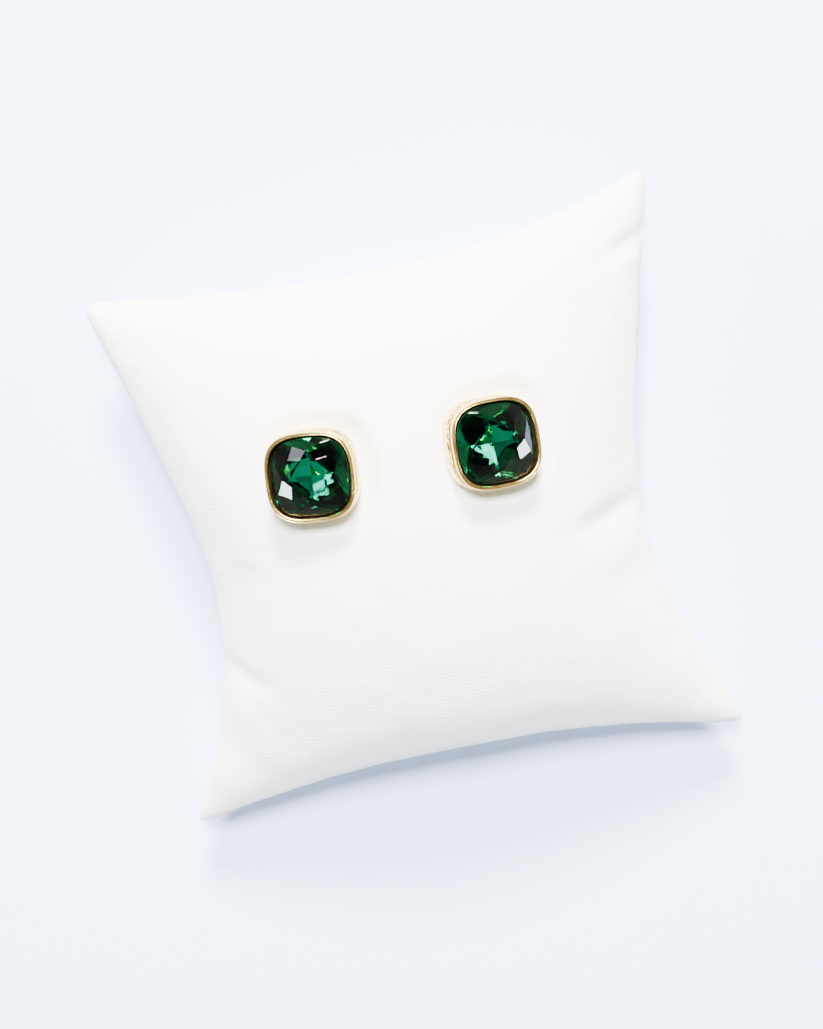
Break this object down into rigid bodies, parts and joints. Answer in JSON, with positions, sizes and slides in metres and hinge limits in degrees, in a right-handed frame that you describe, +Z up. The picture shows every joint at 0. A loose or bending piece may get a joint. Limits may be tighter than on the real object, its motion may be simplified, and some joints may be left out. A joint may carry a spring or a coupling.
{
  "type": "pair of stud earrings on a display cushion",
  "caption": "Cushion-cut green glass studs in gold-coloured cup settings, pinned on a small stuffed display cushion that lies flat.",
  "frame": {"origin": "on the surface that the cushion lies on, under the middle of the whole", "axes": "+Z up, +X across the cushion from the left stud to the right stud, +Y towards the side nearer the studs"},
  "size_m": [0.0816, 0.0838, 0.0334],
  "materials": {
    "cloth": "off-white smooth woven cloth with a faint thread grain",
    "gold": "polished pale gold plating with a finely worked band",
    "stone": "faceted emerald-green glass with a mirrored back"
  },
  "bodies": {
    "root": {"cushion": "cloth", "setting_left": "gold", "setting_right": "gold", "stone_left": "stone", "stone_right": "stone"}
  },
  "joints": []
}
